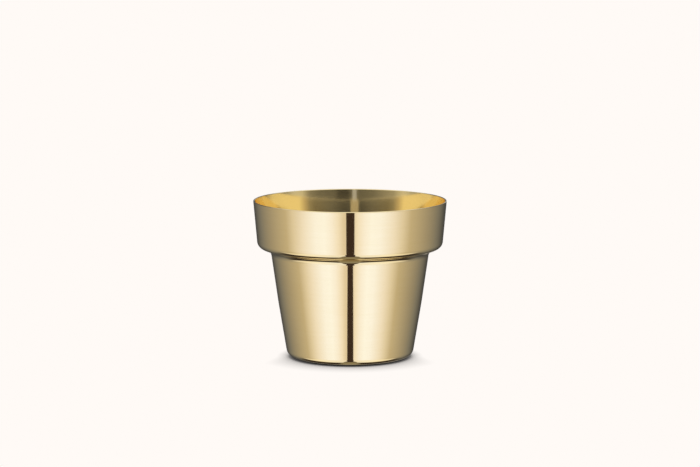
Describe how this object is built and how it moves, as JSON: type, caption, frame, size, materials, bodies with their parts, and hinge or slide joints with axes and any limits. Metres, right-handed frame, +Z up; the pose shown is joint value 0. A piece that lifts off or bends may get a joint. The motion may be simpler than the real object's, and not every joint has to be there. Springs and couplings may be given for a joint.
{
  "type": "cachepot",
  "caption": "Round tapering cachepot in polished brass with a wider stepped collar round its mouth and a felt disc under its base; it stands on a surface and hides a plant's nursery pot.",
  "frame": {"origin": "centre of the felt disc's underside, on the surface that the pot stands on", "axes": "+Z up along the pot's axis of revolution, -Y towards the viewer of the picture, +X to the viewer's right"},
  "size_m": [0.13, 0.13, 0.1062],
  "materials": {
    "polished_brass": "mirror polished outside, fine satin spinning lines inside",
    "braze": "brazing alloy, polished flush with the brass",
    "felt": "pressed wool felt, matt black"
  },
  "bodies": {
    "root": {"pot_body": "polished_brass", "rim_collar": "polished_brass", "brazed_seam": "braze", "base_felt": "felt"}
  },
  "joints": []
}
